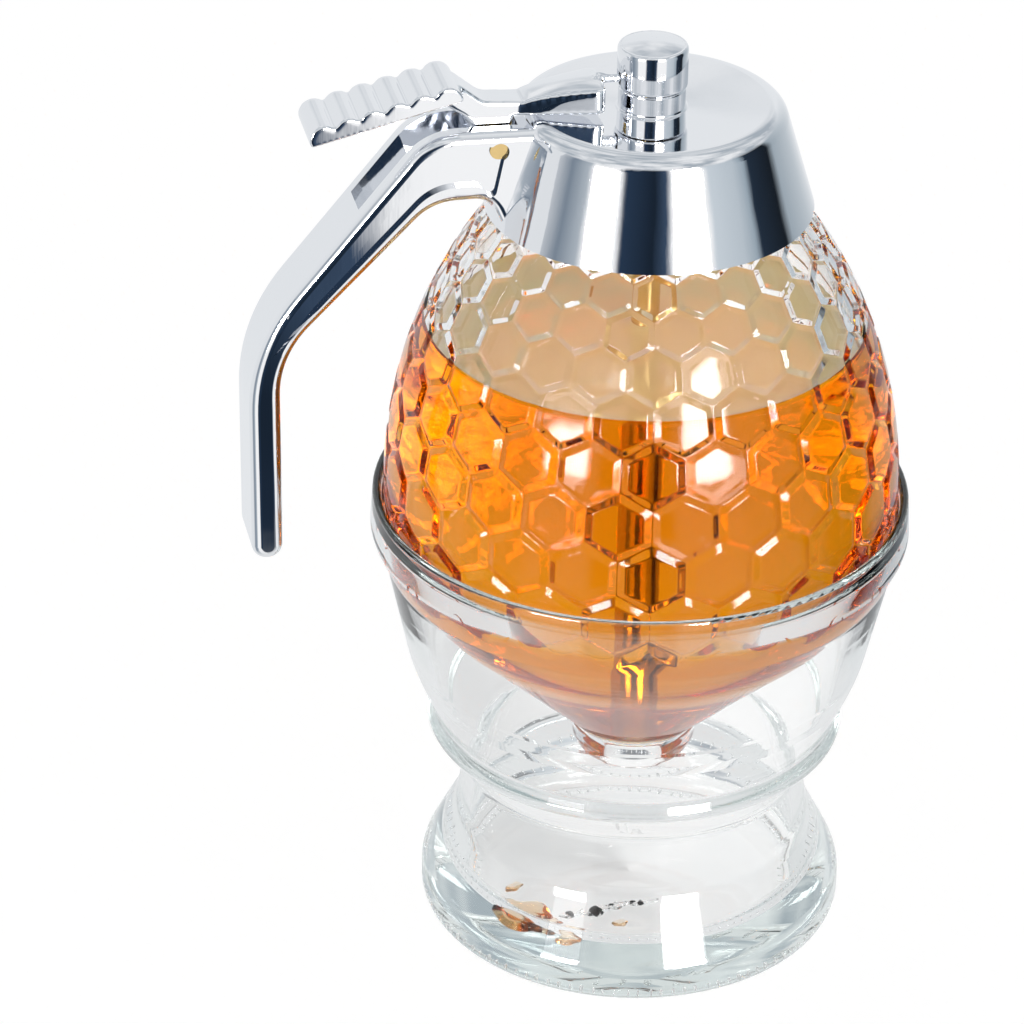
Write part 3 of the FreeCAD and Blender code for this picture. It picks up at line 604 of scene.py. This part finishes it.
def build_drip(name, x, y, radius, height, stretch, turn, seed, material):
    """A flattened bead of honey with an uneven outline, standing on the stand's floor."""
    rng = random.Random(seed)
    waves = [(k, rng.uniform(0.03, 0.10), rng.uniform(0, TAU)) for k in DRIP_WAVES]
    points, faces = [], []
    for share, rise in DRIP_PROFILE:
        for j in range(DRIP_AROUND):
            a = TAU * j / DRIP_AROUND
            reach = radius * share * (1 + sum(h * math.cos(k * a + p) for k, h, p in waves))
            u, v = reach * math.cos(a) * stretch, reach * math.sin(a)
            points.append((x + u * math.cos(turn) - v * math.sin(turn),
                           y + u * math.sin(turn) + v * math.cos(turn), WELL_FLOOR + rise * height))
    faces += lathe_faces(0, len(DRIP_PROFILE), DRIP_AROUND)
    points += [(x, y, WELL_FLOOR - DRIP_FOOT * height), (x, y, WELL_FLOOR + height)]
    last = (len(DRIP_PROFILE) - 1) * DRIP_AROUND
    for j in range(DRIP_AROUND):
        k = (j + 1) % DRIP_AROUND
        faces.append((len(points) - 2, k, j))
        faces.append((len(points) - 1, last + j, last + k))
    obj = make_object(name, points, faces, material)
    fix_normals(obj)
    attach(obj, "base")
    return obj


DRIPS = [  # name, x, y, radius, height, stretch, turn, seed
    ("drip_large", -20.6, -15.6, 3.0, 1.1, 1.5, -0.75, 3),
    ("drip_tail", -17.6, -19.0, 1.3, 0.6, 1.5, -0.6, 4),
    ("drip_small", -15.0, -22.6, 1.2, 0.7, 1.6, -0.2, 5),
    ("drip_left", -21.5, -8.4, 0.9, 0.5, 1.5, 0.3, 8),
    ("drip_front", -6.6, -21.0, 0.8, 0.4, 1.6, 0.2, 9)]
for name, x, y, radius, height, stretch, turn, seed in DRIPS:
    build_drip(name, x, y, radius, height, stretch, turn, seed, honey_dark)
STREAK_START, STREAK_END = (-14.0, -17.6), (-1.0, -15.2)
STREAK_BEADS = 11
STREAK_SPREAD = 0.7
STREAK_SEED, FIRST_BEAD_SEED = 21, 30
rng = random.Random(STREAK_SEED)
for i in range(STREAK_BEADS):
    along = i / (STREAK_BEADS - 1)
    x, y = [start + (end - start) * along + rng.uniform(-STREAK_SPREAD, STREAK_SPREAD)
            for start, end in zip(STREAK_START, STREAK_END)]
    build_drip("streak_bead_%02d" % i, x, y, radius=rng.uniform(0.4, 1.1), height=0.45,
               stretch=rng.uniform(1.0, 1.8), turn=0.2, seed=FIRST_BEAD_SEED + i, material=thin_honey)


# ---------------------------------------------------------------- stippling under the foot
def build_stipple(material, dashes=104, inner=28.4, outer=31.0, low=0.06, high=0.42):
    """Short radial ribs pressed into the ring that the foot stands on."""
    rng = random.Random(6)
    points, faces = [], []
    for i in range(dashes):
        a = TAU * (i + rng.uniform(-0.12, 0.12)) / dashes
        start, end = inner + rng.uniform(-0.2, 0.5), outer + rng.uniform(-0.6, 0.2)
        half = rng.uniform(0.16, 0.26)
        out, side = Vector((math.cos(a), math.sin(a), 0)), Vector((-math.sin(a), math.cos(a), 0))
        base = len(points)
        for reach, width in ((start, 0.35), (start + 0.3, 1.0), (end - 0.3, 1.0), (end, 0.35)):
            for across, rise in ((-1.0, 0.0), (-0.6, 0.8), (0.0, 1.0), (0.6, 0.8), (1.0, 0.0)):
                p = out * reach + side * across * half * width
                points.append((p.x, p.y, low + (high - low) * rise * (0.55 + 0.45 * width)))
        for k in range(3):
            for j in range(5):
                n = (j + 1) % 5
                q = base + k * 5
                faces.append((q + j, q + 5 + j, q + 5 + n, q + n))
        faces.append(tuple(base + j for j in range(5)))
        faces.append(tuple(base + 15 + j for j in reversed(range(5))))
    obj = make_object("foot_stipple", points, faces, material)
    fix_normals(obj)
    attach(obj, "base")


build_stipple(stipple_glass)

# ---------------------------------------------------------------- studio
# Painted reflections: stripes from nearly black navy to white, which the world and the floor show only to
# rays reflected by metal or glass. The dark stripes on the chrome come from them.
PAINTED_REFLECTION_BANDS = [  # (azimuth in degrees, colour seen in a reflection)
    (-180, (0.55, 0.58, 0.62)), (-168, (0.20, 0.25, 0.31)), (-153, (0.45, 0.50, 0.55)),
    (-149, (1.0, 1.0, 1.0)), (-126, (1.0, 1.0, 1.0)), (-122, (0.022, 0.042, 0.080)),
    (-100, (0.010, 0.018, 0.032)), (-91, (0.045, 0.075, 0.13)), (-87, (1.0, 1.0, 1.0)),
    (-61, (1.0, 1.0, 1.0)), (-57, (0.62, 0.68, 0.73)), (-36, (0.52, 0.58, 0.63)),
    (-26, (0.34, 0.41, 0.47)), (-21, (0.018, 0.03, 0.05)), (2, (0.010, 0.014, 0.02)),
    (10, (0.37, 0.43, 0.48)), (35, (0.55, 0.60, 0.64)), (60, (0.85, 0.87, 0.89)),
    (180, (0.80, 0.82, 0.84))]


# Lamp windows in the world that only reflected rays and rays through glass see: they paint the bright
# highlights on the honey and the glass, and they also light what lies behind glass.
HIGHLIGHT_LAMP_WINDOWS = [(-148.5, 0.0), (-146.5, 1.0), (-130.0, 1.0), (-128.0, 0.0),
         (-85.5, 0.0), (-83.5, 1.0), (-65.0, 1.0), (-63.0, 0.0)]  # (azimuth, share of full light)
# Painted light and shade behind glass: rays that pass through glass or honey see grey by direction,
# lighter in some directions and darker in others, where the camera sees white.
PAINTED_THROUGH_GLASS = [(-180, 0.80), (-90, 0.85), (-20, 0.95), (40, 1.0),
            (80, 0.95), (110, 0.74), (150, 0.68), (180, 0.80)]  # (azimuth, grey seen through glass)
HIGHLIGHT_WINDOW_STRENGTH = 60.0
LAMP_FOOT = (0.0, 0.03)  # heights of a direction between which the lamps fade in
LAMP_HEAD = (0.36, 0.40)  # and out again, measured along LAMP_TILT
LAMP_TILT = (-0.24, 0.0, 1.0)
# Painted reflection overhead: above these heights, metal and glass see dark and pale patches of noise in
# place of the bands, and only reflected rays see them.
PAINTED_CEILING_START = (0.38, 0.52)
PAINTED_CEILING_PATCHES = (0.38, 0.62)
PAINTED_CEILING_DARK, PAINTED_CEILING_PALE = (0.42, 0.47, 0.52), (0.90, 0.91, 0.92)
ROOM_GREY = (0.62, 0.62, 0.62)
# Painted reflection of the floor: reflections see a pale gleam on it near the object, and the painted
# bands farther out.
NEAR_FLOOR = (0.07, 0.14)  # metres from the axis over which the floor's gleam turns into the bands
NEAR_PAINTED_GLEAM = (0.80, 0.81, 0.82)
CAMERA_GLOW, CAMERA_SHARE = 1.10, 0.80
BEYOND_SHARE = 0.92
FLOOR_REACH = 900.0
SEEN_ONCE = 0.5  # a ray's depth is a whole number, so more than this is once or more


def compass_ramp(tree, vector, stops):
    """A colour by the compass direction of a vector, from (azimuth in degrees, colour) stops."""
    link = tree.links.new
    split = add(tree, "ShaderNodeSeparateXYZ")
    link(vector, split.inputs[0])
    turn = calculate(tree, "ARCTAN2", split.outputs["Y"], split.outputs["X"])
    share = calculate(tree, "MULTIPLY_ADD", turn, 1.0 / TAU, 0.5)
    ramp = add(tree, "ShaderNodeValToRGB")
    marks = ramp.color_ramp.elements
    while len(marks) > 1:
        marks.remove(marks[-1])
    for i, (azimuth, color) in enumerate(stops):
        position = (azimuth + 180.0) / 360.0
        mark = marks[0] if i == 0 else marks.new(position)
        mark.position = position
        mark.color = (*(color if isinstance(color, tuple) else (color,) * 3), 1)
    link(share, ramp.inputs[0])
    return ramp.outputs["Color"], split.outputs["Z"]


def mix_colors(tree, factor, first, second):
    """A blend of two colours, each one a socket or (red, green, blue)."""
    node = add(tree, "ShaderNodeMix")
    node.data_type = "RGBA"
    colors = [(*color, 1) if isinstance(color, tuple) else color for color in (first, second)]
    feed(tree, (node.inputs[0], node.inputs[6], node.inputs[7]), (factor, *colors))
    return node.outputs[2]


def add_light(tree, color, light, strength):
    """A colour with a light of some strength added to it."""
    node = add(tree, "ShaderNodeVectorMath")
    node.operation = "MULTIPLY_ADD"
    node.inputs[1].default_value = (strength,) * 3
    tree.links.new(light, node.inputs[0])
    tree.links.new(color, node.inputs[2])
    return node.outputs[0]


def behind_glass(tree, rays):
    """1 for a ray that has passed through glass or honey without being reflected, and 0 otherwise."""
    passed = calculate(tree, "GREATER_THAN", rays.outputs["Transmission Depth"], SEEN_ONCE)
    straight = calculate(tree, "LESS_THAN", rays.outputs["Glossy Depth"], SEEN_ONCE)
    return calculate(tree, "MULTIPLY", passed, straight)


def after_gloss(tree, rays):
    """1 for a ray that has been reflected by a glossy surface, and 0 otherwise."""
    return calculate(tree, "GREATER_THAN", rays.outputs["Glossy Depth"], SEEN_ONCE)


def build_world():
    """A room that metal and glass see as painted bands, lamp windows and a painted ceiling, and the
    camera sees as white; glass also shows painted greys behind it.
    """
    world = bpy.data.worlds.new("studio")
    bpy.context.scene.world = world
    world.use_nodes = True
    tree = world.node_tree
    tree.nodes.clear()
    link = tree.links.new
    place = add(tree, "ShaderNodeTexCoord")
    # painted reflection: stripes by compass direction, seen only by reflected rays
    bands, height = compass_ramp(tree, place.outputs["Generated"], PAINTED_REFLECTION_BANDS)
    # painted reflection overhead: dark and pale patches that only reflected rays see
    overhead = add(tree, "ShaderNodeMapRange", From_Min=PAINTED_CEILING_START[0], From_Max=PAINTED_CEILING_START[1])
    link(height, overhead.inputs["Value"])
    cloud = add(tree, "ShaderNodeTexNoise", Scale=2.6, Detail=3.0, Roughness=0.55)
    patch = add(tree, "ShaderNodeMapRange", From_Min=PAINTED_CEILING_PATCHES[0], From_Max=PAINTED_CEILING_PATCHES[1])
    link(place.outputs["Generated"], cloud.inputs["Vector"])
    link(cloud.outputs["Fac"], patch.inputs["Value"])
    ceiling = mix_colors(tree, patch.outputs[0], PAINTED_CEILING_DARK, PAINTED_CEILING_PALE)
    glossy = mix_colors(tree, overhead.outputs[0], bands, ceiling)
    low = add(tree, "ShaderNodeMapRange", From_Min=LAMP_FOOT[0], From_Max=LAMP_FOOT[1])
    high = add(tree, "ShaderNodeMapRange", From_Min=LAMP_HEAD[0], From_Max=LAMP_HEAD[1],
               To_Min=1.0, To_Max=0.0)
    lamps, _ = compass_ramp(tree, place.outputs["Generated"], HIGHLIGHT_LAMP_WINDOWS)
    link(height, low.inputs["Value"])
    sides = add(tree, "ShaderNodeVectorMath")
    sides.operation = "DOT_PRODUCT"
    sides.inputs[1].default_value = LAMP_TILT
    link(place.outputs["Generated"], sides.inputs[0])
    link(sides.outputs["Value"], high.inputs["Value"])
    lit = calculate(tree, "MULTIPLY", low.outputs[0], high.outputs[0])
    # painted highlights: the lamp windows, at many times the rest of the world's light, added to what
    # reflections and glass show
    panels = mix_colors(tree, lit, (0.0, 0.0, 0.0), lamps)
    glossy = add_light(tree, glossy, panels, HIGHLIGHT_WINDOW_STRENGTH)
    # painted light and shade seen through glass, with the lamp windows added
    painted_through_glass, _ = compass_ramp(tree, place.outputs["Generated"], PAINTED_THROUGH_GLASS)
    through = add_light(tree, painted_through_glass, panels, HIGHLIGHT_WINDOW_STRENGTH)
    rays = add(tree, "ShaderNodeLightPath")
    color = mix_colors(tree, after_gloss(tree, rays), ROOM_GREY, glossy)
    color = mix_colors(tree, behind_glass(tree, rays), color, through)
    color = mix_colors(tree, rays.outputs["Is Camera Ray"], color, (1.0, 1.0, 1.0))
    background = add(tree, "ShaderNodeBackground")
    output = add(tree, "ShaderNodeOutputWorld")
    link(color, background.inputs["Color"])
    link(background.outputs[0], output.inputs["Surface"])


def build_floor():
    """A pale floor that keeps the shadow and shows white to the camera; in reflections it shows a painted
    gleam and painted bands, and through glass painted greys.
    """
    material, tree = new_material("studio floor")
    link = tree.links.new
    diffuse = add(tree, "ShaderNodeBsdfDiffuse", Color=(0.95, 0.95, 0.95, 1))
    glow = add(tree, "ShaderNodeEmission", Color=(1, 1, 1, 1), Strength=CAMERA_GLOW)
    place = add(tree, "ShaderNodeTexCoord")
    bands, _ = compass_ramp(tree, place.outputs["Object"], PAINTED_REFLECTION_BANDS)
    painted_through_glass, _ = compass_ramp(tree, place.outputs["Object"], PAINTED_THROUGH_GLASS)
    length = add(tree, "ShaderNodeVectorMath")
    length.operation = "LENGTH"
    link(place.outputs["Object"], length.inputs[0])
    near = add(tree, "ShaderNodeMapRange", From_Min=NEAR_FLOOR[0], From_Max=NEAR_FLOOR[1])
    link(length.outputs["Value"], near.inputs["Value"])
    # painted reflection: the floor glows with the gleam and the bands only for reflected rays
    gleam = add(tree, "ShaderNodeEmission", Strength=1.0)
    link(mix_colors(tree, near.outputs[0], NEAR_PAINTED_GLEAM, bands), gleam.inputs["Color"])
    rays = add(tree, "ShaderNodeLightPath")
    seen = add(tree, "ShaderNodeMixShader")
    link(calculate(tree, "MULTIPLY", rays.outputs["Is Camera Ray"], CAMERA_SHARE), seen.inputs[0])
    link(diffuse.outputs[0], seen.inputs[1])
    link(glow.outputs[0], seen.inputs[2])
    mirrored = add(tree, "ShaderNodeMixShader")
    link(after_gloss(tree, rays), mirrored.inputs[0])
    link(seen.outputs[0], mirrored.inputs[1])
    link(gleam.outputs[0], mirrored.inputs[2])
    through = add(tree, "ShaderNodeMixShader")
    link(calculate(tree, "MULTIPLY", behind_glass(tree, rays), BEYOND_SHARE), through.inputs[0])
    # painted light and shade: rays through glass see the floor as greys by direction
    beyond = add(tree, "ShaderNodeEmission", Strength=1.0)
    link(painted_through_glass, beyond.inputs["Color"])
    link(mirrored.outputs[0], through.inputs[1])
    link(beyond.outputs[0], through.inputs[2])
    output = add(tree, "ShaderNodeOutputMaterial")
    link(through.outputs[0], output.inputs["Surface"])
    corners = [(-1, -1), (1, -1), (1, 1), (-1, 1)]
    floor = make_object("studio_floor", [(x * FLOOR_REACH, y * FLOOR_REACH, 0) for x, y in corners],
                        [(0, 1, 2, 3)], material, smooth=False)


def softbox(name, azimuth, distance, low, high, width, radiance):
    """A lit panel that stands on the floor and faces the jar; sizes in millimetres."""
    light = bpy.data.lights.new(name, "AREA")
    light.shape = "RECTANGLE"
    light.size, light.size_y = width * MM, (high - low) * MM
    light.energy = radiance * math.pi * light.size * light.size_y
    obj = bpy.data.objects.new(name, light)
    bpy.context.scene.collection.objects.link(obj)
    a = math.radians(azimuth)
    obj.location = (distance * MM * math.cos(a), distance * MM * math.sin(a), (low + high) / 2 * MM)
    aim = Vector((0, 0, (low + high) / 2 * MM)) - obj.location
    obj.rotation_euler = aim.to_track_quat("-Z", "Y").to_euler()
    obj.visible_camera = False


SOFTBOX = dict(distance=1000.0, low=10.0, high=420.0, radiance=3.2)
build_world()
build_floor()
softbox("softbox_left", azimuth=-138.0, width=330.0, **SOFTBOX)
softbox("softbox_front", azimuth=-74.0, width=360.0, **SOFTBOX)


# ---------------------------------------------------------------- camera
CAMERA_PLACE, CAMERA_AIM = (-152.5, -595.2, 426.9), (-19.64, 4.35, 70.34)
CAMERA_LENS, CAMERA_SENSOR = 158.2, 36.0
CAMERA_NEAR, CAMERA_FAR = 0.01, 20.0
CAMERA_ROLL = 0.76  # degrees


def build_camera():
    """The photograph's view: a long lens, 30 degrees above the floor, a little left of front."""
    data = bpy.data.cameras.new("camera")
    camera = bpy.data.objects.new("camera", data)
    bpy.context.scene.collection.objects.link(camera)
    data.sensor_width = CAMERA_SENSOR
    data.lens = CAMERA_LENS
    data.clip_start, data.clip_end = CAMERA_NEAR, CAMERA_FAR
    camera.location = Vector(CAMERA_PLACE) * MM
    aim = Vector(CAMERA_AIM) * MM - camera.location
    camera.rotation_euler = aim.to_track_quat("-Z", "Y").to_euler()
    camera.rotation_euler.rotate_axis("Z", math.radians(CAMERA_ROLL))
    bpy.context.scene.camera = camera


build_camera()
bpy.context.scene.view_settings.view_transform = "Standard"

# Light that is caught inside thick glass needs more bounces than usual before it gets out again.
cycles = bpy.context.scene.cycles
cycles.max_bounces = 32
cycles.glossy_bounces = 12
cycles.transmission_bounces = 28
cycles.transparent_max_bounces = 16
